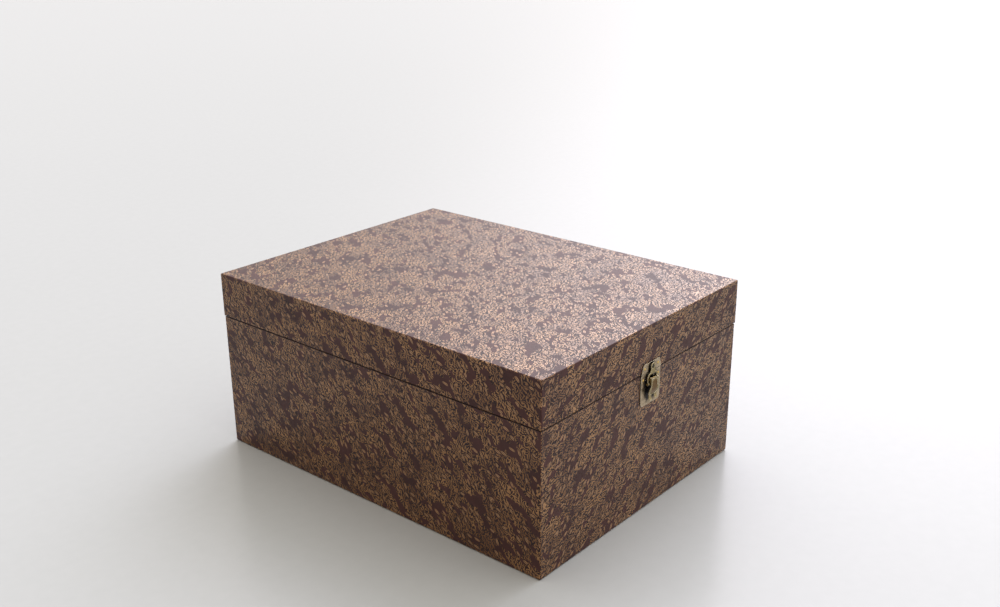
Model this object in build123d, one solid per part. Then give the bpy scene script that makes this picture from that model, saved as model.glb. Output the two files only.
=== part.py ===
from build123d import *
import os

# A storage box for photographs: a deep base and a shallow hinged lid, both made of
# boards wrapped in printed paper, held shut by a small draw latch on the front.
# X runs across the front, Y from front to rear and Z up. The origin is the middle
# of the underside. All sizes are in millimetres.

# Trays: outside sizes over the covering paper
base_width = 300.0
base_depth = 396.0
base_height = 135.6
lid_height = 43.6
seam_gap = 0.8            # between the two rims when the box is shut
lid_overhang = 0.5        # the lid stands this far beyond the base on each side

# Boards, papers and lining panels
wall_board = 6.0
floor_board = 6.0
top_board = 6.0
board_round = 0.9         # upright and closed-face edges of the boards
rim_round = 0.5           # rim edges of the boards
cover_paper = 0.3
turn_in = 15.0            # covering paper carried over the rim and down inside
turn_under = 14.0         # covering paper carried under the floor
underside_paper = 0.3
underside_inset = 3.0     # the underside sheet stops this far inside the base
lining_panel = 1.2
lining_drop = 3.0         # the lining panels stop this far short of the rim

# Nails with domed heads
nail_head_radius = 1.25
nail_head_height = 0.6
nail_shank_radius = 0.55
nail_hole_gap = 0.05
nail_point_cover = 2.0    # board left behind a nail's point

# Draw latch: two stamped plates
latch_from_centre = 3.4   # along X, as the latch was fitted by hand
plate_metal = 0.7
latch_plate_width = 30.0
latch_plate_length = 30.0
latch_plate_drop = 0.6    # from the middle of the seam to the plate
latch_plate_top_round = 1.2
latch_plate_foot_round = 4.0
latch_nail_inset = 3.3    # from the plate's sides
latch_nail_drop = 4.9     # from the plate's top edge
strike_foot_width = 30.6
strike_top_width = 24.6
strike_height = 8.6
strike_rise = 0.5         # from the middle of the seam to the plate
strike_round = 2.0
strike_nail_inset = 2.0   # from the top corners
strike_nail_rise = 4.2    # from the plate's lower edge
hook_width = 2.4
hook_foot_rise = 2.6      # from the plate's lower edge
hook_height = 3.4
hook_window_side = 0.8    # open space beside and above the hook
hook_to_eye = 0.25        # clearance that leaves the lid free of the bail

# Draw latch: lever, bail and their pins
pivot_drop = 6.0          # from the middle of the seam to the lever's pivot
pivot_stand = 2.45        # from the latch plate's face to the lever's pivot
over_centre = 0.6         # the bail's pin lies this much nearer the plate
bail_pin_drop = 4.0       # from the lever's pivot to the bail's pin
pin_gap = 0.05            # running clearance of each pin, on the radius
side_gap = 0.2            # between neighbouring ears, cheeks, heads and arms
ear_spacing = 7.2         # between the ears
ear_round = 1.2
ear_stem = 2.2
pivot_pin_radius = 0.75
pivot_head_radius = 1.2
pivot_head_height = 0.45
bail_pin_radius = 0.6
bail_head_radius = 0.95
bail_head_height = 0.5
lever_metal = 0.8
lever_rise = 0.9          # from the pivot to the lever's upper edge
lever_length = 19.4       # from the pivot to the tips of the finger tail
lever_top_out = 2.2       # from the pivot out to the lever's face, at its upper edge
lever_crown = 2.3         # the same at the bail's pin, where the face stands highest
lever_wing_out = 1.8      # the same at the middle of the oval wing
lever_waist_out = 0.3     # the same at the waist above the tail
lever_tip_out = 1.4       # the same at the tips of the tail
lever_waist_drop = 16.4   # from the pivot down to the waist
lever_wing_drop = 11.0    # from the pivot down to the middle of the wing
lever_wing_width = 16.4
lever_wing_length = 11.6
lever_tail_width = 12.0
lever_fork_width = 4.8
lever_fork_depth = 4.0
lever_rim = 1.3           # raised border left round the pressed panel
lever_pressing = 0.3      # depth of the pressed panel
cheek_pivot_round = 1.75
cheek_pin_round = 1.35
bail_metal = 0.8
bail_arm_width = 1.8
bail_ring_radius = 1.5
bail_arch_rise = 8.0      # from the bail's pin to the inside of its arch
bail_arch_band = 1.8
bail_arch_round = 3.2
bail_neck_width = 4.4
bail_neck_foot_width = 8.6
eye_rise = 15.0           # from the bail's pin to the eye
eye_radius = 1.8
eye_border = 1.5

# Hinges: a base leaf, a lid leaf with a stop tongue, and a pin
hinge_inset = 55.5        # from the lid's sides to the middle of the leaves
leaf_metal = 0.9
leaf_width = 30.0
leaf_height = 14.0        # from the pin's axis to the leaf's edge
leaf_round = 2.0
leaf_nail_spacing = 18.0
leaf_nail_drop = 9.5      # from the pin's axis
knuckle_radius = 2.1
knuckle_back_gap = 0.1    # between the knuckles and the lid's rear face
knuckle_gap = 0.2         # between neighbouring knuckles and leaves
lid_knuckle_width = 10.0
hinge_pin_radius = 0.9
hinge_pin_head_radius = 1.5
hinge_pin_head_height = 0.6
hinge_opening = 105.0     # degrees from shut to the stop
tongue_width = 8.0
tongue_length = 4.8       # from the pin's axis
tongue_stop_gap = 0.15

overcut = 1.0             # how far a cutting tool runs past what it cuts

seam_height = base_height + seam_gap / 2
total_height = base_height + seam_gap + lid_height
lid_width = base_width + 2 * lid_overhang
lid_depth = base_depth + 2 * lid_overhang

pieces = {}


def block(x_low, x_high, y_low, y_high, z_low, z_high):
    """A plain box between two opposite corners."""
    size = Box(x_high - x_low, y_high - y_low, z_high - z_low)
    return Pos((x_low + x_high) / 2, (y_low + y_high) / 2, (z_low + z_high) / 2) * size


def centred_block(width, depth, z_low, z_high):
    """A box centred over the origin."""
    return block(-width / 2, width / 2, -depth / 2, depth / 2, z_low, z_high)


def rounded_block(width, depth, z_low, z_high, closed_round, open_round):
    """A box with its uprights and lower edges rounded, and its rim rounded less."""
    solid = centred_block(width, depth, z_low, z_high)
    edges = solid.edges().filter_by(Axis.Z) + solid.edges().group_by(Axis.Z)[0]
    solid = fillet(edges, closed_round)
    return fillet(solid.edges().group_by(Axis.Z)[-1], open_round)


def tray(prefix, closed_name, width, depth, height, panel_board):
    """Boards, covering paper and lining of a tray standing on its closed face at z = 0."""
    panel_top = cover_paper + panel_board
    board_top = height - cover_paper
    inner_width = width - 2 * (cover_paper + wall_board)
    inner_depth = depth - 2 * (cover_paper + wall_board)
    side = width / 2
    end = depth / 2

    # boards: front and rear run right across, left and right fit between them
    core = rounded_block(
        width - 2 * cover_paper, depth - 2 * cover_paper, cover_paper, board_top, board_round, rim_round
    )
    frame = core - centred_block(inner_width, inner_depth, panel_top, height)
    in_x = inner_width / 2
    in_y = inner_depth / 2
    made = {
        f"{prefix}_{closed_name}_board": frame & block(-side, side, -end, end, 0, panel_top),
        f"{prefix}_front_board": frame & block(-side, side, -end, -in_y, panel_top, height),
        f"{prefix}_rear_board": frame & block(-side, side, in_y, end, panel_top, height),
        f"{prefix}_left_board": frame & block(-side, -in_x, -in_y, in_y, panel_top, height),
        f"{prefix}_right_board": frame & block(in_x, side, -in_y, in_y, panel_top, height),
    }

    # covering paper: outside faces, rim, and the turn-in down the inside of the walls
    lined_width = inner_width - 2 * cover_paper
    lined_depth = inner_depth - 2 * cover_paper
    wrap = rounded_block(width, depth, 0, height, board_round + cover_paper, rim_round + cover_paper)
    wrap = wrap - core
    wrap += centred_block(inner_width, inner_depth, height - turn_in, height - cover_paper)
    wrap -= centred_block(lined_width, lined_depth, height - turn_in, height + overcut)
    made[f"{prefix}_cover_paper"] = wrap

    # lining panels: one on the closed face, four standing on it inside the turn-in
    lining_top = height - lining_drop
    foot = panel_top + lining_panel
    wall_x = lined_width / 2
    wall_y = lined_depth / 2
    face_x = wall_x - lining_panel
    face_y = wall_y - lining_panel
    made[f"{prefix}_{closed_name}_lining"] = centred_block(inner_width, inner_depth, panel_top, foot)
    made[f"{prefix}_front_lining"] = block(-wall_x, wall_x, -wall_y, -face_y, foot, lining_top)
    made[f"{prefix}_rear_lining"] = block(-wall_x, wall_x, face_y, wall_y, foot, lining_top)
    made[f"{prefix}_left_lining"] = block(-wall_x, -face_x, -face_y, face_y, foot, lining_top)
    made[f"{prefix}_right_lining"] = block(face_x, wall_x, -face_y, face_y, foot, lining_top)
    return made


def make_trays():
    """The base standing on its underside sheet, and the lid upside down above it."""
    base = tray("base", "floor", base_width, base_depth, base_height - underside_paper, floor_board)
    for name, solid in base.items():
        pieces[name] = Pos(0, 0, underside_paper) * solid
    open_under = centred_block(
        base_width - 2 * turn_under, base_depth - 2 * turn_under, 0, underside_paper + cover_paper
    )
    pieces["base_cover_paper"] -= open_under
    pieces["base_underside_paper"] = centred_block(
        base_width - 2 * underside_inset, base_depth - 2 * underside_inset, 0, underside_paper
    )
    lid = tray("lid", "top", lid_width, lid_depth, lid_height, top_board)
    for name, solid in lid.items():
        pieces[name] = Pos(0, 0, total_height) * mirror(solid, about=Plane.XY)


# Fittings are drawn flat against the face that carries them: the first coordinate
# runs across it, the second up it from the middle of the seam, the third out of it.


def sheet(outline, low, high):
    """Metal sheet lying along the face, between two heights above it."""
    return extrude(Plane.XY.offset(low) * outline, high - low)


def web(outline, low, high):
    """A profile drawn up and out of the face, running across from low to high."""
    return extrude(Plane.YZ.offset(low) * outline, high - low)


def crossbar(up, out, radius, low, high):
    """A round bar running across the face."""
    return web(Pos(up, out) * Circle(radius), low, high)


def headed_pin(up, out, radius, half_length, head_radius, head_height):
    """A pin across the face with a head at each end."""
    pin = crossbar(up, out, radius, -half_length, half_length)
    pin += crossbar(up, out, head_radius, half_length, half_length + head_height)
    pin += crossbar(up, out, head_radius, -half_length - head_height, -half_length)
    return pin


def nail_shank(skin, seat, gap):
    """The part of a nail below its seat, for a wall whose paper ends at skin."""
    point = skin - cover_paper - wall_board + nail_point_cover
    return Pos(0, 0, (seat + point) / 2) * Cylinder(nail_shank_radius + gap, seat - point)


def nail(skin, seat):
    """A nail whose domed head lies on metal at the height seat."""
    dome_radius = (nail_head_radius**2 + nail_head_height**2) / (2 * nail_head_height)
    dome = Pos(0, 0, seat + nail_head_height - dome_radius) * Sphere(dome_radius)
    room = block(
        -nail_head_radius, nail_head_radius, -nail_head_radius, nail_head_radius,
        seat, seat + nail_head_height,
    )
    return nail_shank(skin, seat, 0) + (dome & room)


def fasten(drilled, face, skin, seat, places):
    """Drill a plate and the wall behind it at each place, and give the nails that go in."""
    nails = []
    for across, up in places:
        place = face * Pos(across, up, 0)
        hole = place * nail_shank(skin, seat, nail_hole_gap)
        for name in drilled:
            pieces[name] -= hole
        nails.append(place * nail(skin, seat))
    return nails


def both_sides(shape):
    """A shape together with its mirror image across the middle of the fitting."""
    return shape + mirror(shape, about=Plane.YZ)


front_face = Plane(
    origin=(latch_from_centre, -base_depth / 2, seam_height), x_dir=(1, 0, 0), z_dir=(0, -1, 0)
)
strike_seat = lid_overhang + plate_metal
ear_in = ear_spacing / 2
ear_out = ear_in + plate_metal
cheek_in = ear_out + side_gap
cheek_out = cheek_in + lever_metal
pivot_head_in = cheek_out + side_gap
arm_in = pivot_head_in + pivot_head_height + side_gap
arm_out = arm_in + bail_arm_width
bail_head_in = arm_out + side_gap
pivot_up = -pivot_drop
pivot_out = plate_metal + pivot_stand
bail_up = pivot_up - bail_pin_drop
bail_out = pivot_out - over_centre
eye_back = bail_out - bail_metal / 2


def make_strike_plate():
    """The lid's plate, with the hook stamped out of it and a window round the hook."""
    foot = strike_rise
    top = strike_rise + strike_height
    outline = make_face(
        Polyline(
            (-strike_foot_width / 2, foot),
            (strike_foot_width / 2, foot),
            (strike_top_width / 2, top),
            (-strike_top_width / 2, top),
            close=True,
        )
    )
    outline = fillet(outline.vertices().group_by(Axis.Y)[-1], strike_round)
    hook_foot = foot + hook_foot_rise
    hook_top = hook_foot + hook_height
    window = block(
        -hook_width / 2 - hook_window_side, hook_width / 2 + hook_window_side,
        hook_foot + plate_metal, hook_top + hook_window_side,
        lid_overhang, strike_seat,
    )
    hook = block(-hook_width / 2, hook_width / 2, hook_foot, hook_top, strike_seat, eye_back - hook_to_eye)
    plate = sheet(outline, lid_overhang, strike_seat) - window + hook
    pieces["strike_plate"] = front_face * plate
    across = strike_top_width / 2 - strike_nail_inset
    up = foot + strike_nail_rise
    pieces["strike_nails"] = fasten(
        ["strike_plate", "lid_cover_paper", "lid_front_board"],
        front_face, lid_overhang, strike_seat,
        [(-across, up), (across, up)],
    )


def make_latch_plate():
    """The base's plate: two ears folded up, each beside the window it was cut from."""
    top = -latch_plate_drop
    foot = top - latch_plate_length
    side = latch_plate_width / 2
    outline = make_face(Polyline((-side, foot), (side, foot), (side, top), (-side, top), close=True))
    outline = fillet(outline.vertices().group_by(Axis.Y)[-1], latch_plate_top_round)
    outline = fillet(outline.vertices().group_by(Axis.Y)[0], latch_plate_foot_round)
    stem = Pos(pivot_up, pivot_out / 2) * Rectangle(ear_stem, pivot_out)
    ear = web(stem + Pos(pivot_up, pivot_out) * Circle(ear_round), ear_in, ear_out)
    window_length = pivot_stand + ear_round
    window = block(
        ear_out, ear_out + window_length, pivot_up - ear_round, pivot_up + ear_round, 0, plate_metal
    )
    plate = sheet(outline, 0, plate_metal) - both_sides(window) + both_sides(ear)
    plate -= crossbar(pivot_up, pivot_out, pivot_pin_radius + pin_gap, -ear_out, ear_out)
    pieces["latch_plate"] = front_face * plate
    across = side - latch_nail_inset
    up = top - latch_nail_drop
    pieces["latch_plate_nails"] = fasten(
        ["latch_plate", "base_cover_paper", "base_front_board"],
        front_face, 0, plate_metal,
        [(-across, up), (across, up)],
    )
    pieces["latch_pivot_pin"] = front_face * headed_pin(
        pivot_up, pivot_out, pivot_pin_radius, pivot_head_in, pivot_head_radius, pivot_head_height
    )


def lever_profile(inset):
    """The lever's face seen from the side, moved towards the plate by inset."""
    return Spline(
        (pivot_up + lever_rise, pivot_out + lever_top_out - inset),
        (pivot_up - bail_pin_drop, pivot_out + lever_crown - inset),
        (pivot_up - lever_wing_drop, pivot_out + lever_wing_out - inset),
        (pivot_up - lever_waist_drop, pivot_out + lever_waist_out - inset),
        (pivot_up - lever_length, pivot_out + lever_tip_out - inset),
    )


def beside_profile(curve, out):
    """The area between a side profile and a straight line at the height out."""
    start = curve @ 0
    end = curve @ 1
    return make_face(curve + Polyline((end.X, end.Y), (end.X, out), (start.X, out), (start.X, start.Y)))


def lever_outline(border, tail):
    """The lever seen from the front, taken in by border all round, with or without its tail."""
    top = pivot_up + lever_rise - border
    wing_centre = pivot_up - lever_wing_drop
    head = Pos(0, (top + wing_centre) / 2) * Rectangle(2 * (cheek_out - border), top - wing_centre)
    wing = Pos(0, wing_centre) * Ellipse(lever_wing_width / 2 - border, lever_wing_length / 2 - border)
    outline = head + wing
    if tail:
        tip = pivot_up - lever_length
        fork_root = tip + lever_fork_depth
        outline += Pos(0, (wing_centre + tip) / 2) * Rectangle(lever_tail_width, wing_centre - tip)
        outline -= Pos(0, (fork_root + tip) / 2) * Rectangle(lever_fork_width, lever_fork_depth)
    return outline


def make_lever():
    """A pressed oval body with a cheek on each side, a raised rim and a forked tail."""
    face = lever_profile(0)
    far_out = pivot_out + 2 * lever_crown
    solid_under_face = web(beside_profile(face, 0), -arm_out, arm_out)
    hollow = web(beside_profile(lever_profile(lever_metal), 0), -arm_out, arm_out)
    shell = sheet(lever_outline(0, True), 0, far_out) & (solid_under_face - hollow)

    pivot_round = Pos(pivot_up, pivot_out) * Circle(cheek_pivot_round)
    pin_round = Pos(bail_up, bail_out) * Circle(cheek_pin_round)
    cheek_foot = bail_up - cheek_pin_round
    cheek_top = pivot_up + lever_rise
    cheek_back = Pos((cheek_foot + cheek_top) / 2, (bail_out + far_out) / 2) * Rectangle(
        cheek_top - cheek_foot, far_out - bail_out
    )
    cheek = web(cheek_back, cheek_in, cheek_out) & web(
        beside_profile(lever_profile(lever_metal / 2), 0), cheek_in, cheek_out
    )
    cheek += web(make_hull(pivot_round.edges() + pin_round.edges()), cheek_in, cheek_out)
    pressing = sheet(lever_outline(lever_rim, False), 0, far_out) & web(
        beside_profile(lever_profile(lever_pressing), far_out), -arm_out, arm_out
    )
    lever = shell + both_sides(cheek) - pressing
    lever -= crossbar(pivot_up, pivot_out, pivot_pin_radius + pin_gap, -arm_out, arm_out)
    lever -= crossbar(bail_up, bail_out, bail_pin_radius + pin_gap, -arm_out, arm_out)
    pieces["latch_lever"] = front_face * lever
    pieces["latch_bail_pin"] = front_face * headed_pin(
        bail_up, bail_out, bail_pin_radius, bail_head_in, bail_head_radius, bail_head_height
    )


def make_bail():
    """A stamped wishbone: a ring at each foot, an arch, a neck and an eye for the hook."""
    arch_in = bail_up + bail_arch_rise
    arch_out = arch_in + bail_arch_band
    outer = Pos(0, (bail_up + arch_out) / 2) * Rectangle(2 * arm_out, arch_out - bail_up)
    outer = fillet(outer.vertices().group_by(Axis.Y)[-1], bail_arch_round + bail_arch_band)
    inner = Pos(0, (bail_up + arch_in) / 2) * Rectangle(2 * arm_in, arch_in - bail_up)
    inner = fillet(inner.vertices().group_by(Axis.Y)[-1], bail_arch_round)
    eye_up = bail_up + eye_rise
    neck = make_face(
        Polyline(
            (-bail_neck_foot_width / 2, arch_in),
            (bail_neck_foot_width / 2, arch_in),
            (bail_neck_width / 2, eye_up),
            (-bail_neck_width / 2, eye_up),
            close=True,
        )
    )
    outline = outer - inner + neck + Pos(0, eye_up) * Circle(eye_radius + eye_border)
    outline -= Pos(0, eye_up) * Circle(eye_radius)
    bail = sheet(outline, eye_back, eye_back + bail_metal)
    bail += both_sides(crossbar(bail_up, bail_out, bail_ring_radius, arm_in, arm_out))
    bail -= crossbar(bail_up, bail_out, bail_pin_radius + pin_gap, -arm_out, arm_out)
    pieces["latch_bail"] = front_face * bail


hinge_from_centre = lid_width / 2 - hinge_inset
axis_out = lid_overhang + knuckle_back_gap + knuckle_radius
leaf_edge = knuckle_radius + knuckle_gap
base_knuckle_in = lid_knuckle_width / 2 + knuckle_gap
pin_clearance = crossbar(0, axis_out, hinge_pin_radius + pin_gap, -leaf_width, leaf_width)


def leaf_plate(seat):
    """A flat leaf below the pin's axis, lying on a face at the height seat."""
    side = leaf_width / 2
    outline = make_face(
        Polyline(
            (-side, -leaf_height), (side, -leaf_height), (side, -leaf_edge), (-side, -leaf_edge), close=True
        )
    )
    outline = fillet(outline.vertices().group_by(Axis.Y)[0], leaf_round)
    return sheet(outline, seat, seat + leaf_metal)


def knuckle(seat, low, high):
    """A stretch of barrel with the web that joins it to a leaf below the axis."""
    joint = make_face(
        Polyline(
            (-leaf_edge, seat),
            (-leaf_edge, seat + leaf_metal),
            (-seam_gap / 2, axis_out),
            (-seam_gap / 2, seat),
            close=True,
        )
    )
    return web(joint, low, high) + crossbar(0, axis_out, knuckle_radius, low, high)


def base_leaf():
    """The leaf nailed to the base, with a knuckle near each end."""
    outer_knuckle = knuckle(0, base_knuckle_in, leaf_width / 2)
    return leaf_plate(0) + both_sides(outer_knuckle) - pin_clearance


def lid_leaf():
    """The leaf nailed to the lid, with the middle knuckle and the stop tongue."""
    middle_knuckle = knuckle(lid_overhang, -lid_knuckle_width / 2, lid_knuckle_width / 2)
    leaf = mirror(leaf_plate(lid_overhang) + middle_knuckle, about=Plane.XZ)
    # the tongue is drawn as it lies against the base leaf when open, then turned shut
    tongue_back = leaf_metal + tongue_stop_gap
    tongue = block(
        -tongue_width / 2, tongue_width / 2, -tongue_length, 0, tongue_back, tongue_back + leaf_metal
    )
    turn_shut = Pos(0, 0, axis_out) * Rot(-hinge_opening, 0, 0) * Pos(0, 0, -axis_out)
    return leaf + turn_shut * tongue - pin_clearance


def make_hinges():
    """Two hinges on the rear, each nailed to the base and to the lid."""
    base_nails = []
    lid_nails = []
    across = leaf_nail_spacing / 2
    for side, x in (("left", -hinge_from_centre), ("right", hinge_from_centre)):
        face = Plane(origin=(x, base_depth / 2, seam_height), x_dir=(-1, 0, 0), z_dir=(0, 1, 0))
        base_name = f"hinge_{side}_base_leaf"
        lid_name = f"hinge_{side}_lid_leaf"
        pieces[base_name] = face * base_leaf()
        pieces[lid_name] = face * lid_leaf()
        pieces[f"hinge_{side}_pin"] = face * headed_pin(
            0, axis_out, hinge_pin_radius, leaf_width / 2, hinge_pin_head_radius, hinge_pin_head_height
        )
        base_nails += fasten(
            [base_name, "base_cover_paper", "base_rear_board"],
            face, 0, leaf_metal,
            [(-across, -leaf_nail_drop), (across, -leaf_nail_drop)],
        )
        lid_nails += fasten(
            [lid_name, "lid_cover_paper", "lid_rear_board"],
            face, lid_overhang, lid_overhang + leaf_metal,
            [(-across, leaf_nail_drop), (across, leaf_nail_drop)],
        )
    pieces["hinge_base_nails"] = base_nails
    pieces["hinge_lid_nails"] = lid_nails


make_trays()
make_strike_plate()
make_latch_plate()
make_lever()
make_bail()
make_hinges()

os.makedirs("parts", exist_ok=True)
for name, piece in pieces.items():
    solids = Compound(children=piece) if isinstance(piece, list) else piece
    export_step(solids, f"parts/{name}.step")
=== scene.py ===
import math

import bmesh
import bpy
from mathutils import Matrix, Vector


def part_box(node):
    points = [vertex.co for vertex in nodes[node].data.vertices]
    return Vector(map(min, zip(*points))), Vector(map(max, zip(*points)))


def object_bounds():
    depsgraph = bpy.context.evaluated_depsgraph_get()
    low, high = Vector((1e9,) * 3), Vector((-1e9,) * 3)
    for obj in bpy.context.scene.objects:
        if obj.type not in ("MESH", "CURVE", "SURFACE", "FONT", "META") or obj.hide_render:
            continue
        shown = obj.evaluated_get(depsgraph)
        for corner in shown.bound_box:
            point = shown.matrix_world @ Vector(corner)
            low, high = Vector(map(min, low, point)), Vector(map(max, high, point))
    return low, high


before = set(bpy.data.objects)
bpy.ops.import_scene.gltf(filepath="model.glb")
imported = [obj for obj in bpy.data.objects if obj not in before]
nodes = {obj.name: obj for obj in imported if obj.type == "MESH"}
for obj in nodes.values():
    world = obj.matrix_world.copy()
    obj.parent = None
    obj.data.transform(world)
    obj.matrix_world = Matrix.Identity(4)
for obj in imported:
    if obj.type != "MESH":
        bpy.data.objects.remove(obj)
cad_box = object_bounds()


# Boards of the base and the lid: 6 mm medium-density fibreboard, sawn to size and glued at the
# corners. Their faces are hidden by paper and lining; fibres of several browns, pressed flat,
# are all that the material gives the eye.

mm = 0.001          # in metres; the sizes of patterns are in millimetres
fibre_length = 2.5  # real fibres are about 1 mm, drawn longer so that they show


def linear(colour):
    """An sRGB hex colour as the linear RGBA that a socket takes."""
    channels = [int(colour[place:place + 2], 16) / 255 for place in (1, 3, 5)]
    return [c / 12.92 if c <= 0.04045 else ((c + 0.055) / 1.055) ** 2.4 for c in channels] + [1]


def add(tree, kind, inputs=None, **settings):
    """Adds one node, makes its settings, and sets each input or links it to what it is given.

    A node stands for its first output in use, and a hex string for its colour. A Mix node takes
    its share at 0 and what it mixes at 2 and 3, at 4 and 5 for vectors, at 6 and 7 for colours.
    """
    node = tree.nodes.new(kind)
    for name, value in settings.items():
        setattr(node, name, value)
    for place, value in (inputs or {}).items():
        if isinstance(value, bpy.types.Node):
            value = next(output for output in value.outputs if output.enabled)
        if isinstance(value, bpy.types.NodeSocket):
            tree.links.new(value, node.inputs[place])
        else:
            node.inputs[place].default_value = linear(value) if isinstance(value, str) else value
    return node


def new_material(name):
    """A material with only its output left in it, its tree, and its point in millimetres."""
    material = bpy.data.materials.new(name)
    material.use_nodes = True
    tree = material.node_tree
    tree.nodes.remove(tree.nodes["Principled BSDF"])
    place = add(tree, "ShaderNodeTexCoord").outputs["Object"]
    spot = add(tree, "ShaderNodeVectorMath", {0: place, "Scale": 1 / mm}, operation="SCALE")
    return material, tree, spot


def finish_with(material, shader, *pieces):
    """Makes the shader the material's surface, and that material the pieces' only one."""
    surface = material.node_tree.nodes["Material Output"].inputs["Surface"]
    material.node_tree.links.new(shader.outputs[0], surface)
    for piece in pieces:
        piece.data.materials.clear()
        piece.data.materials.append(material)


material, tree, spot = new_material("fibreboard")
fibres = add(tree, "ShaderNodeTexNoise", {"Vector": spot, "Scale": 1 / fibre_length, "Detail": 4.0,
                                          "Roughness": 0.7, "Distortion": 1.5})
pale = add(tree, "ShaderNodeMapRange", {"Value": fibres, "From Min": 0.35, "From Max": 0.65})
brown = add(tree, "ShaderNodeMix", {0: pale, 6: "#6d5233", 7: "#a98a5f"}, data_type="RGBA")
nap = add(tree, "ShaderNodeBump", {"Height": fibres, "Distance": 0.05 * mm, "Strength": 0.6})
shader = add(tree, "ShaderNodeBsdfPrincipled",
             {"Base Color": brown, "Roughness": 0.88, "Normal": nap})
finish_with(material, shader, *[nodes[name] for name in nodes if name.endswith("_board")])


# Covering papers of the base and the lid: art paper, printed all over. Each is one sheet, folded
# over the boards and turned in at the rim, so the print runs on over every edge. Bronze ink stands
# raised and glossy on a duller plum ground. Along the outer fold at the rim the ink is left out and
# the paper is painted dark, as painted shade of the seam between lid and base.

box_top = cad_box[1].z / mm     # the sides of a sheet are measured down from here
sheet_lean = math.radians(48)   # clusters and leaves all lean this way on the sheet
vine_spacing = 2.1              # from one winding of a vine to the next
waves = 4                       # crossed at even angles, which bend into vines
wave_shift = Vector((57, 31, 0))  # from wave to wave, so that no two bend alike
bend_length = 8                 # over which the vines change their way
bend_strength = 12.0            # radians by which a bend shifts the windings
leaf_spacing = 7.6
leaf_half_length = 4.3
leaf_half_breadth = 1.15
leaf_turn = 0.5                 # radians either way from the lean
cluster_length = 14
cluster_stretch = (0.7, 1.3, 1)  # draws clusters out along the lean
lobe_spacing = 4.0              # of the round lobes that make up a cluster
crowded_from = 0.435            # level of the noise from which a lobe is overgrown
faded_length = 30               # of the patches where ink and ground have faded
tooth = 0.9                     # grain of the paper under the ink
seam_shade_start, seam_shade_end = 0.1, 0.9  # the painted seam shade fades out between these distances from the rim
ink_metal = 0.18                # bronze powder is metal in a clear binder
ink_gloss = 0.36                # how much of the ink the binder's clear coat covers


def unfolded(tree, spot, half_width, half_depth):
    """Where a point of the folded sheet lies when it is flat, in millimetres."""
    point = add(tree, "ShaderNodeSeparateXYZ", {0: spot})
    normal = add(tree, "ShaderNodeTexCoord").outputs["Normal"]
    facing = add(tree, "ShaderNodeSeparateXYZ", {0: normal})
    steep = add(tree, "ShaderNodeVectorMath", {0: normal}, operation="ABSOLUTE")
    steep = add(tree, "ShaderNodeSeparateXYZ", {0: steep})
    down = add(tree, "ShaderNodeMath", {0: box_top, 1: point.outputs["Z"]}, operation="SUBTRACT")
    across = []
    for axis, other, half in (("X", "Y", half_width), ("Y", "X", half_depth)):
        rival = add(tree, "ShaderNodeMath", {0: steep.outputs[other], 1: steep.outputs["Z"]},
                    operation="MAXIMUM")
        upright = add(tree, "ShaderNodeMath", {0: steep.outputs[axis], 1: rival},
                      operation="GREATER_THAN")
        side = add(tree, "ShaderNodeMath", {0: facing.outputs[axis]}, operation="SIGN")
        folded = add(tree, "ShaderNodeMath", {0: down, 1: half}, operation="ADD")
        folded = add(tree, "ShaderNodeMath", {0: folded, 1: side}, operation="MULTIPLY")
        across.append(add(tree, "ShaderNodeMix", {0: upright, 2: point.outputs[axis], 3: folded}))
    return add(tree, "ShaderNodeCombineXYZ", {0: across[0], 1: across[1]})


def curled(tree, sheet, reach, length):
    """The sheet's coordinates, pulled about by up to half of reach over a length in millimetres."""
    drift = add(tree, "ShaderNodeTexNoise", {"Vector": sheet, "Scale": 1 / length, "Detail": 1.0},
                noise_dimensions="2D").outputs["Color"]
    drift = add(tree, "ShaderNodeVectorMath", {0: drift, 1: (0.5, 0.5, 0.5)}, operation="SUBTRACT")
    return add(tree, "ShaderNodeVectorMath", {0: drift, 1: (reach, reach, 0), 2: sheet},
               operation="MULTIPLY_ADD")


def vines(tree, sheet):
    """Vines of even breadth that wind closely about each other, where bent waves cancel out."""
    sines, cosines = 0.0, 0.0
    for row in range(waves):
        heading = sheet_lean + math.pi * row / waves
        step = math.pi / vine_spacing * Vector((math.cos(heading), math.sin(heading), 0))
        along = add(tree, "ShaderNodeVectorMath", {0: sheet, 1: step}, operation="DOT_PRODUCT")
        apart = add(tree, "ShaderNodeVectorMath", {0: sheet, 1: row * wave_shift}, operation="ADD")
        bend = add(tree, "ShaderNodeTexNoise",
                   {"Vector": apart, "Scale": 1 / bend_length, "Detail": 1.0},
                   noise_dimensions="2D")
        along = add(tree, "ShaderNodeMath", {0: bend, 1: bend_strength, 2: along},
                    operation="MULTIPLY_ADD")
        sine = add(tree, "ShaderNodeMath", {0: along}, operation="SINE")
        sines = add(tree, "ShaderNodeMath", {0: sine, 1: sines}, operation="ADD")
        cosine = add(tree, "ShaderNodeMath", {0: along}, operation="COSINE")
        cosines = add(tree, "ShaderNodeMath", {0: cosine, 1: cosines}, operation="ADD")
    wave = add(tree, "ShaderNodeCombineXYZ", {0: sines, 1: cosines})
    wave = add(tree, "ShaderNodeVectorMath", {0: wave}, operation="NORMALIZE")
    wave = add(tree, "ShaderNodeVectorMath", {0: wave}, operation="ABSOLUTE")
    wave = add(tree, "ShaderNodeSeparateXYZ", {0: wave})
    return add(tree, "ShaderNodeMapRange", {"Value": wave, "From Min": 0.75, "From Max": 0.5},
               interpolation_type="SMOOTHSTEP")


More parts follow.
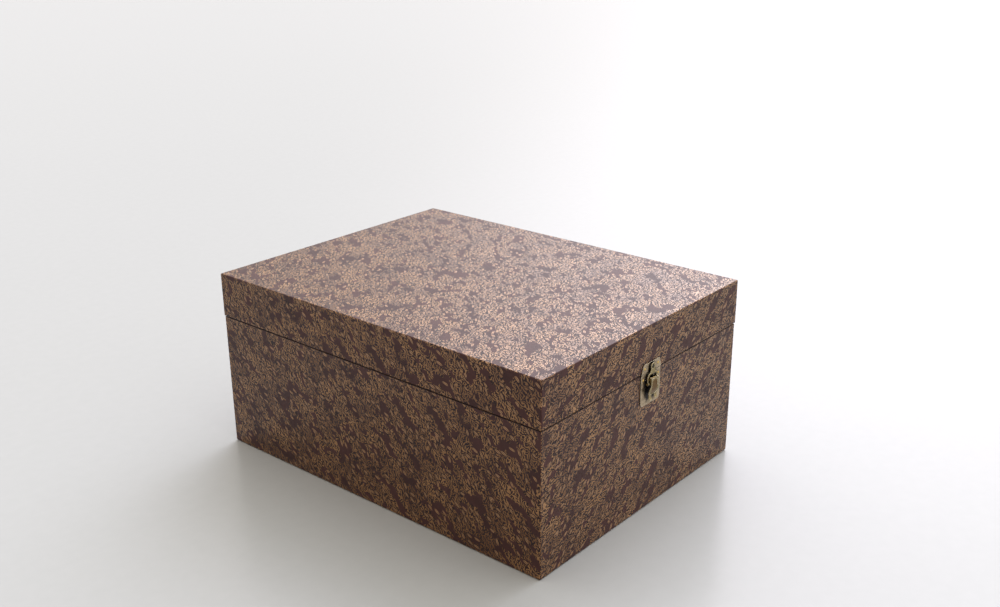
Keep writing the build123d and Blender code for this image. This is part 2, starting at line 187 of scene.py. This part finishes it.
def leaves(tree, sheet, sown):
    """Slender pointed leaves on a sown share of their spots, and the bare room round each.

    A leaf has a dark midrib.
    """
    cells = add(tree, "ShaderNodeTexVoronoi",
                {"Vector": sheet, "Scale": 1 / leaf_spacing, "Randomness": 1.0},
                voronoi_dimensions="2D")
    lot = add(tree, "ShaderNodeSeparateColor", {0: cells.outputs["Color"]})
    reach = add(tree, "ShaderNodeVectorMath", {0: sheet, 1: cells.outputs["Position"]},
                operation="SUBTRACT")
    turn = add(tree, "ShaderNodeMapRange", {"Value": lot, "To Min": -sheet_lean - leaf_turn,
                                            "To Max": -sheet_lean + leaf_turn})
    along = add(tree, "ShaderNodeVectorRotate", {"Vector": reach, "Angle": turn},
                rotation_type="Z_AXIS")
    along = add(tree, "ShaderNodeVectorMath",
                {0: along, 1: (1 / leaf_half_length, 1 / leaf_half_breadth, 0)},
                operation="MULTIPLY")
    along = add(tree, "ShaderNodeSeparateXYZ", {0: along})
    squared = add(tree, "ShaderNodeMath", {0: along.outputs["X"], 1: 2.0}, operation="POWER")
    beside = add(tree, "ShaderNodeMath", {0: along.outputs["Y"]}, operation="ABSOLUTE")
    out = add(tree, "ShaderNodeMath", {0: squared, 1: beside}, operation="ADD")
    grown = add(tree, "ShaderNodeMath", {0: lot.outputs["Green"], 1: sown}, operation="LESS_THAN")
    blade = add(tree, "ShaderNodeMapRange", {"Value": out, "From Min": 1.0, "From Max": 0.75},
                interpolation_type="SMOOTHSTEP")
    blade = add(tree, "ShaderNodeMath", {0: blade, 1: grown}, operation="MULTIPLY")
    beyond_rib = add(tree, "ShaderNodeMapRange",
                     {"Value": beside, "From Min": 0.1, "From Max": 0.34},
                     interpolation_type="SMOOTHSTEP")
    blade = add(tree, "ShaderNodeMath", {0: blade, 1: beyond_rib}, operation="MULTIPLY")
    room = add(tree, "ShaderNodeMapRange", {"Value": out, "From Min": 1.9, "From Max": 1.4},
               interpolation_type="SMOOTHSTEP")
    room = add(tree, "ShaderNodeMath", {0: room, 1: grown}, operation="MULTIPLY")
    return blade, room


def clusters(tree, sheet):
    """Where vines cover the ground: lobed clusters, drawn out along the lean of the sheet."""
    leaned = add(tree, "ShaderNodeVectorRotate", {"Vector": sheet, "Angle": -sheet_lean},
                 rotation_type="Z_AXIS")
    leaned = add(tree, "ShaderNodeVectorMath", {0: leaned, 1: cluster_stretch},
                 operation="MULTIPLY")
    lobes = add(tree, "ShaderNodeTexVoronoi",
                {"Vector": curled(tree, leaned, reach=5.5, length=5.0), "Scale": 1 / lobe_spacing,
                 "Randomness": 0.9}, voronoi_dimensions="2D").outputs["Position"]
    crowd = add(tree, "ShaderNodeTexNoise",
                {"Vector": lobes, "Scale": 1 / cluster_length, "Detail": 2.0, "Roughness": 0.65},
                noise_dimensions="2D")
    return add(tree, "ShaderNodeMath", {0: crowd, 1: crowded_from}, operation="GREATER_THAN")


def outside_painted_seam_shade(tree, spot, rim):
    """0 where the seam's painted shade goes, on upright paper at the height of the rim, and 1
    elsewhere.
    """
    height = add(tree, "ShaderNodeSeparateXYZ", {0: spot}).outputs["Z"]
    height = add(tree, "ShaderNodeMath", {0: height, 1: rim}, operation="SUBTRACT")
    height = add(tree, "ShaderNodeMath", {0: height}, operation="ABSOLUTE")
    away = add(tree, "ShaderNodeMapRange",
               {"Value": height, "From Min": seam_shade_start, "From Max": seam_shade_end},
               interpolation_type="SMOOTHSTEP")
    normal = add(tree, "ShaderNodeTexCoord").outputs["Normal"]
    normal = add(tree, "ShaderNodeVectorMath", {0: normal}, operation="ABSOLUTE")
    normal = add(tree, "ShaderNodeSeparateXYZ", {0: normal}).outputs["Z"]
    level = add(tree, "ShaderNodeMapRange", {"Value": normal, "From Min": 0.7, "From Max": 0.95},
                interpolation_type="SMOOTHSTEP")
    return add(tree, "ShaderNodeMath", {0: away, 1: level}, operation="MAXIMUM")


def printed_paper(tray, rim, shift, gloss):
    """Dresses a tray's cover. Its rim's height and its sheet's shift on the print are in mm.

    The gloss is the IOR of the varnish.
    """
    cover = f"{tray}_cover_paper"
    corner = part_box(cover)[1]
    material, tree, spot = new_material(f"printed_art_paper_{tray}")
    sheet = unfolded(tree, spot, corner.x / mm, corner.y / mm)
    sheet = add(tree, "ShaderNodeVectorMath", {0: sheet, 1: shift}, operation="ADD")
    cluster = clusters(tree, sheet)
    leaf, room = leaves(tree, curled(tree, sheet, reach=3.0, length=14.0), sown=0.42)
    vine = add(tree, "ShaderNodeMath", {0: vines(tree, sheet), 1: cluster}, operation="MULTIPLY")
    beside_leaf = add(tree, "ShaderNodeMath", {0: 1.0, 1: room}, operation="SUBTRACT")
    vine = add(tree, "ShaderNodeMath", {0: vine, 1: beside_leaf}, operation="MULTIPLY")
    # painted shade of the seam: on the outer fold the ink is left out and the paper is painted dark
    clear_of_seam_shade = outside_painted_seam_shade(tree, spot, rim)
    ink = add(tree, "ShaderNodeMath", {0: vine, 1: leaf}, operation="MAXIMUM")
    ink = add(tree, "ShaderNodeMath", {0: ink, 1: clear_of_seam_shade}, operation="MULTIPLY")

    faded = add(tree, "ShaderNodeTexNoise",
                {"Vector": sheet, "Scale": 1 / faded_length, "Detail": 4.0},
                noise_dimensions="2D")
    faded = add(tree, "ShaderNodeMapRange", {"Value": faded, "From Min": 0.3, "From Max": 0.7},
                interpolation_type="SMOOTHSTEP")
    plum = add(tree, "ShaderNodeMix", {0: faded, 6: "#391e1b", 7: "#482825"}, data_type="RGBA")
    plum = add(tree, "ShaderNodeMix", {0: cluster, 6: plum, 7: "#271210"}, data_type="RGBA")
    bronze = add(tree, "ShaderNodeMix", {0: faded, 6: "#7d5839", 7: "#a47b51"}, data_type="RGBA")
    bronze = add(tree, "ShaderNodeMix", {0: leaf, 6: bronze, 7: "#b38a63"}, data_type="RGBA")
    colour = add(tree, "ShaderNodeMix", {0: ink, 6: plum, 7: bronze}, data_type="RGBA")
    colour = add(tree, "ShaderNodeMix", {0: clear_of_seam_shade, 6: "#2a1713", 7: colour}, data_type="RGBA")

    metal = add(tree, "ShaderNodeMath", {0: ink, 1: ink_metal}, operation="MULTIPLY")
    coat = add(tree, "ShaderNodeMath", {0: ink, 1: ink_gloss}, operation="MULTIPLY")
    dull = add(tree, "ShaderNodeMapRange", {"Value": ink, "To Min": 0.42, "To Max": 0.22})
    grain = add(tree, "ShaderNodeTexNoise", {"Vector": spot, "Scale": 1 / tooth, "Detail": 3.0})
    grain = add(tree, "ShaderNodeMath", {0: grain, 1: 0.35, 2: ink}, operation="MULTIPLY_ADD")
    relief = add(tree, "ShaderNodeBump", {"Height": grain, "Distance": 0.04 * mm, "Strength": 0.5})
    shader = add(tree, "ShaderNodeBsdfPrincipled",
                 {"Base Color": colour, "Metallic": metal, "Roughness": dull, "IOR": gloss,
                  "Normal": relief, "Coat Weight": coat, "Coat Roughness": 0.2, "Coat IOR": 1.5,
                  "Coat Normal": relief})
    finish_with(material, shader, nodes[cover])


printed_paper("lid", rim=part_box("lid_cover_paper")[0].z / mm, shift=(0, 0, 0), gloss=1.32)
printed_paper("base", rim=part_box("base_cover_paper")[1].z / mm, shift=(37, 71, 0), gloss=1.35)


# Underside sheet: plain dark kraft paper, glued under the floor over the turned-under edges of
# the covering paper. It is matt, with darker fibres and faint scuffs where the box has slid.

pulp_clump = 1.8
scuff_length = 45
material, tree, spot = new_material("dark_kraft_paper")
pulp = add(tree, "ShaderNodeTexNoise", {"Vector": spot, "Scale": 1 / pulp_clump, "Detail": 5.0,
                                        "Roughness": 0.75})
pale = add(tree, "ShaderNodeMapRange", {"Value": pulp, "From Min": 0.35, "From Max": 0.68},
           interpolation_type="SMOOTHSTEP")
scuff = add(tree, "ShaderNodeTexNoise", {"Vector": spot, "Scale": 1 / scuff_length, "Detail": 2.0})
scuff = add(tree, "ShaderNodeMapRange", {"Value": scuff, "From Min": 0.5, "From Max": 0.85},
            interpolation_type="SMOOTHSTEP")
brown = add(tree, "ShaderNodeMix", {0: pale, 6: "#2a1f1b", 7: "#3d2f28"}, data_type="RGBA")
brown = add(tree, "ShaderNodeMix", {0: scuff, 6: brown, 7: "#4a3a32"}, data_type="RGBA")
nap = add(tree, "ShaderNodeBump", {"Height": pulp, "Distance": 0.05 * mm, "Strength": 0.5})
shader = add(tree, "ShaderNodeBsdfPrincipled",
             {"Base Color": brown, "Roughness": 0.82, "Normal": nap})
finish_with(material, shader, nodes["base_underside_paper"])


# Lining panels: thin card faced with ivory laid paper, cut to fit and glued inside each tray.
# The paper's fine ribs, pulp flecks and soft mottling give a warm, matt surface.

rib_spacing = 2.4   # real laid lines are about 1 mm apart, drawn wider so that they show
rib_waver = 0.9     # the most that pulp pushes a rib aside
pulp_clump = 1.4
mottle_length = 35
material, tree, spot = new_material("ivory_laid_paper")
pulp = add(tree, "ShaderNodeTexNoise", {"Vector": spot, "Scale": 1 / pulp_clump, "Detail": 5.0,
                                        "Roughness": 0.7})
fleck = add(tree, "ShaderNodeMapRange", {"Value": pulp, "From Min": 0.36, "From Max": 0.27},
            interpolation_type="SMOOTHSTEP")
mottle = add(tree, "ShaderNodeTexNoise",
             {"Vector": spot, "Scale": 1 / mottle_length, "Detail": 3.0})
mottle = add(tree, "ShaderNodeMapRange", {"Value": mottle, "From Min": 0.3, "From Max": 0.7},
             interpolation_type="SMOOTHSTEP")
point = add(tree, "ShaderNodeSeparateXYZ", {0: spot})
rise = add(tree, "ShaderNodeMath", {0: point.outputs["Y"], 1: point.outputs["Z"]}, operation="ADD")
rise = add(tree, "ShaderNodeMath", {0: pulp, 1: rib_waver, 2: rise}, operation="MULTIPLY_ADD")
ribs = add(tree, "ShaderNodeMath", {0: rise, 1: 2 * math.pi / rib_spacing}, operation="MULTIPLY")
ribs = add(tree, "ShaderNodeMath", {0: ribs}, operation="SINE")
crest = add(tree, "ShaderNodeMapRange", {"Value": ribs, "From Min": 0.0, "From Max": 1.3},
            interpolation_type="SMOOTHSTEP")
ivory = add(tree, "ShaderNodeMix", {0: mottle, 6: "#ddd5c4", 7: "#e4ddcd"}, data_type="RGBA")
ivory = add(tree, "ShaderNodeMix", {0: crest, 6: ivory, 7: "#cdc3ae"}, data_type="RGBA")
ivory = add(tree, "ShaderNodeMix", {0: fleck, 6: ivory, 7: "#a89674"}, data_type="RGBA")
relief = add(tree, "ShaderNodeMath", {0: ribs, 1: 0.3, 2: pulp}, operation="MULTIPLY_ADD")
relief = add(tree, "ShaderNodeBump", {"Height": relief, "Distance": 0.06 * mm, "Strength": 0.6})
shader = add(tree, "ShaderNodeBsdfPrincipled",
             {"Base Color": ivory, "Roughness": 0.78, "IOR": 1.45, "Normal": relief})
finish_with(material, shader, *[nodes[name] for name in nodes if name.endswith("_lining")])


# Plates, lever, bail and hinge leaves: sheet brass, stamped, dipped to a dark patina and rubbed
# back. Hollows and places under and beside other metal are painted nearly black, partly as dark
# patina in the hollows and partly as painted shade. Flats are grey-olive with fine pits and
# scratches, and every edge is rubbed to pale bare brass.

patina_cloud = 3.5  # size of the patches that took more of the patina or less
pit_spacing = 0.45
scratch_stretch = (0.35, 6.0, 4.0)  # makes scratches 5 mm long in X and 0.3 mm fine
worn_edge = 0.35    # how far an edge looks rubbed round


def patinated_brass(name, pieces, dark, flats, bare, shade_reach, shade_from, rubbed, pool=None):
    """Dresses pieces in brass painted dark within shade_reach millimetres of other metal: patina
    and painted shade.

    Where pool is given, a middle and a half size in X and Z, the patina lies thick there.
    """
    material, tree, spot = new_material(name)
    cloud = add(tree, "ShaderNodeTexNoise", {"Vector": spot, "Scale": 1 / patina_cloud,
                                             "Detail": 4.0, "Roughness": 0.65})
    pale = add(tree, "ShaderNodeMapRange", {"Value": cloud, "From Min": 0.3, "From Max": 0.7},
               interpolation_type="SMOOTHSTEP")
    pits = add(tree, "ShaderNodeTexNoise", {"Vector": spot, "Scale": 1 / pit_spacing,
                                            "Detail": 2.0})
    pitted = add(tree, "ShaderNodeMapRange", {"Value": pits, "From Min": 0.37, "From Max": 0.27},
                 interpolation_type="SMOOTHSTEP")
    along = add(tree, "ShaderNodeVectorMath", {0: spot, 1: scratch_stretch}, operation="MULTIPLY")
    lines = add(tree, "ShaderNodeTexNoise", {"Vector": along, "Scale": 0.6, "Detail": 2.0})
    scratched = add(tree, "ShaderNodeMapRange",
                    {"Value": lines, "From Min": 0.66, "From Max": 0.85},
                    interpolation_type="SMOOTHSTEP")
    # painted shade: occlusion by nearby metal darkens the brass, partly standing for patina in
    # hollows
    clear = add(tree, "ShaderNodeAmbientOcclusion", {"Distance": shade_reach * mm}, samples=8,
                only_local=False).outputs["AO"]
    clear = add(tree, "ShaderNodeMath", {0: cloud, 1: 0.25, 2: clear}, operation="MULTIPLY_ADD")
    patina_and_painted_shade = add(tree, "ShaderNodeMapRange",
                    {"Value": clear, "From Min": shade_from, "From Max": shade_from - 0.3},
                    interpolation_type="SMOOTHSTEP")
    rounded = add(tree, "ShaderNodeBevel", {"Radius": worn_edge * mm}, samples=6)
    true_normal = add(tree, "ShaderNodeNewGeometry").outputs["Normal"]
    edge = add(tree, "ShaderNodeVectorMath", {0: rounded, 1: true_normal}, operation="DOT_PRODUCT")
    edge = add(tree, "ShaderNodeMapRange", {"Value": edge, "From Min": 0.995, "From Max": 0.86},
               interpolation_type="SMOOTHSTEP")
    edge = add(tree, "ShaderNodeMath", {0: edge, 1: rubbed}, operation="MULTIPLY")

    coats = [(pale, flats[1]), (pitted, dark), (scratched, bare)]
    if pool:
        middle, half = pool
        thick = add(tree, "ShaderNodeVectorMath", {0: spot, 1: middle}, operation="SUBTRACT")
        thick = add(tree, "ShaderNodeVectorMath", {0: thick, 1: (1 / half[0], 0, 1 / half[1])},
                    operation="MULTIPLY")
        thick = add(tree, "ShaderNodeVectorMath", {0: thick}, operation="LENGTH")
        thick = add(tree, "ShaderNodeMath", {0: cloud, 1: 0.5, 2: thick}, operation="MULTIPLY_ADD")
        thick = add(tree, "ShaderNodeMapRange", {"Value": thick, "From Min": 1.35, "From Max": 1.0},
                    interpolation_type="SMOOTHSTEP")
        coats.append((thick, "#6a5029"))
    coats += [(patina_and_painted_shade, dark), (edge, bare)]
    colour = flats[0]
    for share, coat in coats:
        colour = add(tree, "ShaderNodeMix", {0: share, 6: colour, 7: coat}, data_type="RGBA")

    dull = add(tree, "ShaderNodeMapRange", {"Value": cloud, "From Min": 0.3, "From Max": 0.7,
                                            "To Min": 0.3, "To Max": 0.48})
    relief = add(tree, "ShaderNodeMath", {0: lines, 1: 0.3, 2: pits}, operation="MULTIPLY_ADD")
    relief = add(tree, "ShaderNodeBump", {"Height": relief, "Distance": 0.03 * mm, "Strength": 0.5,
                                          "Normal": rounded})
    shader = add(tree, "ShaderNodeBsdfPrincipled",
                 {"Base Color": colour, "Metallic": 0.9, "Roughness": dull, "Normal": relief})
    finish_with(material, shader, *pieces)


patinated_brass("patinated_brass_plate",
                [nodes[name] for name in nodes if name.endswith(("_plate", "_leaf"))],
                "#0c0905", ("#a39176", "#c2b094"), "#f0e6cc",
                shade_reach=7.5, shade_from=1.15, rubbed=0.9)
lever_low, lever_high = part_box("latch_lever")
lever_middle = (lever_low + lever_high) / 2
patinated_brass("patinated_brass_lever", [nodes["latch_lever"]],
                "#0c0804", ("#85764f", "#a39268"), "#efe6ca",
                shade_reach=2.0, shade_from=0.8, rubbed=1.0,
                pool=((lever_middle.x / mm, 0, lever_middle.z / mm + 1.5), (5.2, 7.6)))
patinated_brass("patinated_brass_bail", [nodes["latch_bail"]],
                "#0c0804", ("#85764f", "#a39268"), "#efe6ca",
                shade_reach=3.5, shade_from=0.95, rubbed=1.0)


# Pins: hard brass wire, cut to length and headed by riveting. Faint rings run round the shank,
# left by the rolls that straightened the wire, and the heads are slightly dull.

rings_per_mm = 5.0  # along X, the pins' way
material, tree, spot = new_material("drawn_brass_wire")
rings = add(tree, "ShaderNodeVectorMath", {0: spot, 1: (rings_per_mm, 0.4, 0.4)},
            operation="MULTIPLY")
rings = add(tree, "ShaderNodeTexNoise", {"Vector": rings, "Scale": 1.0, "Detail": 3.0})
bright = add(tree, "ShaderNodeMapRange", {"Value": rings, "From Min": 0.35, "From Max": 0.65},
             interpolation_type="SMOOTHSTEP")
yellow = add(tree, "ShaderNodeMix", {0: bright, 6: "#7f6c42", 7: "#a08a5a"}, data_type="RGBA")
relief = add(tree, "ShaderNodeBump", {"Height": rings, "Distance": 0.02 * mm, "Strength": 0.5})
shader = add(tree, "ShaderNodeBsdfPrincipled",
             {"Base Color": yellow, "Metallic": 1.0, "Roughness": 0.34, "Normal": relief})
finish_with(material, shader, *[nodes[name] for name in nodes if name.endswith("_pin")])


# Nails of the plates and hinges: bright brass-plated steel with domed heads, hammered in.
# The plating is yellow, with dents from the hammer and a little tarnish.

dent_size = 0.8
material, tree, spot = new_material("brass_plated_steel")
dents = add(tree, "ShaderNodeTexNoise", {"Vector": spot, "Scale": 1 / dent_size, "Detail": 2.0})
bright = add(tree, "ShaderNodeMapRange", {"Value": dents, "From Min": 0.35, "From Max": 0.7},
             interpolation_type="SMOOTHSTEP")
yellow = add(tree, "ShaderNodeMix", {0: bright, 6: "#b8934a", 7: "#dcc07c"}, data_type="RGBA")
relief = add(tree, "ShaderNodeBump", {"Height": dents, "Distance": 0.08 * mm, "Strength": 0.5})
shader = add(tree, "ShaderNodeBsdfPrincipled",
             {"Base Color": yellow, "Metallic": 1.0, "Roughness": 0.27, "Normal": relief})
finish_with(material, shader, *[nodes[name] for name in nodes if name.endswith("_nails")])


# Table top under the box: white high-pressure laminate, pressed to a satin gloss. It mirrors the
# room softly, with a faint orange-peel texture.

half_table = 8.0     # in metres
gap_under_box = 0.1  # so that no face lies in another
peel_length = 12
mesh = bpy.data.meshes.new("table_top")
bm = bmesh.new()
bmesh.ops.create_grid(bm, x_segments=1, y_segments=1, size=half_table)
bmesh.ops.translate(bm, verts=bm.verts, vec=(0, 0, -gap_under_box * mm))
bm.to_mesh(mesh)
bm.free()
table = bpy.data.objects.new("table_top", mesh)
bpy.context.scene.collection.objects.link(table)
material, tree, spot = new_material("white_laminate")
peel = add(tree, "ShaderNodeTexNoise", {"Vector": spot, "Scale": 1 / peel_length, "Detail": 2.0})
relief = add(tree, "ShaderNodeBump", {"Height": peel, "Distance": 0.05 * mm, "Strength": 0.15})
white = add(tree, "ShaderNodeMix", {0: peel, 6: "#b1b7b9", 7: "#b5bbbd"}, data_type="RGBA")
shader = add(tree, "ShaderNodeBsdfPrincipled",
             {"Base Color": white, "Roughness": 0.24, "IOR": 1.27, "Normal": relief})
finish_with(material, shader, table)


# Light: a white room, brighter overhead and towards a wide window high on the right, dimmer and
# warmer on the left. Straight on it is seen plain white, and it is mirrored no darker than white.

window_way = Vector((0.76, 0.20, 0.61)).normalized()
window_strength = 4.3
left_wall = (0.28, 0.195, 0.12)
right_wall = (1.03, 0.96, 0.9)
world = bpy.data.worlds.new("room")
bpy.context.scene.world = world
world.use_nodes = True
tree = world.node_tree
way = add(tree, "ShaderNodeTexCoord").outputs["Generated"]
nearness = add(tree, "ShaderNodeVectorMath", {0: way, 1: window_way}, operation="DOT_PRODUCT")
window = add(tree, "ShaderNodeMapRange",
             {"Value": nearness, "From Min": 0.80, "From Max": 1.0, "To Max": window_strength},
             interpolation_type="SMOOTHSTEP")
window = add(tree, "ShaderNodeVectorMath", {0: linear("#f5f1ff")[:3], "Scale": window},
             operation="SCALE")
side = add(tree, "ShaderNodeSeparateXYZ", {0: way})
rightward = add(tree, "ShaderNodeMapRange", {"Value": side, "From Min": -1.0, "From Max": 0.2},
                interpolation_type="SMOOTHSTEP")
walls = add(tree, "ShaderNodeMix", {0: rightward, 4: left_wall, 5: right_wall},
            data_type="VECTOR")
above = add(tree, "ShaderNodeMapRange", {"Value": side.outputs["Z"], "From Min": 0.3,
                                         "From Max": 1.0, "To Min": 1.0, "To Max": 1.8})
walls = add(tree, "ShaderNodeVectorMath", {0: walls, "Scale": above}, operation="SCALE")
glow = add(tree, "ShaderNodeVectorMath", {0: window, 1: walls}, operation="ADD")
reflection = add(tree, "ShaderNodeVectorMath", {0: glow, 1: (1, 1, 1)}, operation="MAXIMUM")
ray = add(tree, "ShaderNodeLightPath").outputs
mirrored = add(tree, "ShaderNodeMath", {0: ray["Is Glossy Ray"], 1: ray["Is Transmission Ray"]},
               operation="MAXIMUM")
glow = add(tree, "ShaderNodeMix", {0: mirrored, 4: glow, 5: reflection}, data_type="VECTOR")
glow = add(tree, "ShaderNodeMix", {0: ray["Is Camera Ray"], 4: glow, 5: (1, 1, 1)},
           data_type="VECTOR")
tree.links.new(glow.outputs[1], tree.nodes["Background"].inputs["Color"])


# Camera: a little over a metre away, left of the front and half a metre above the table, with a
# lens of nearly normal length.

stand = (-0.78797, -0.69821, 0.54473)
azimuth, elevation, roll = (math.radians(angle) for angle in (-49.684, 20.452, -0.326))
away = Vector((math.sin(azimuth) * math.cos(elevation), -math.cos(azimuth) * math.cos(elevation),
               math.sin(elevation)))
level_right = Vector((0, 0, 1)).cross(away).normalized()
level_up = away.cross(level_right)
right = math.cos(roll) * level_right + math.sin(roll) * level_up
up = -math.sin(roll) * level_right + math.cos(roll) * level_up
turned = Matrix((right, up, away)).transposed().to_4x4()
lens = bpy.data.cameras.new("camera")
lens.sensor_width = 36
lens.sensor_fit = "HORIZONTAL"
lens.lens = 41.8
lens.clip_start = 0.01
camera = bpy.data.objects.new("camera", lens)
bpy.context.scene.collection.objects.link(camera)
camera.matrix_world = Matrix.Translation(stand) @ turned
bpy.context.scene.camera = camera
bpy.context.scene.view_settings.view_transform = "Standard"
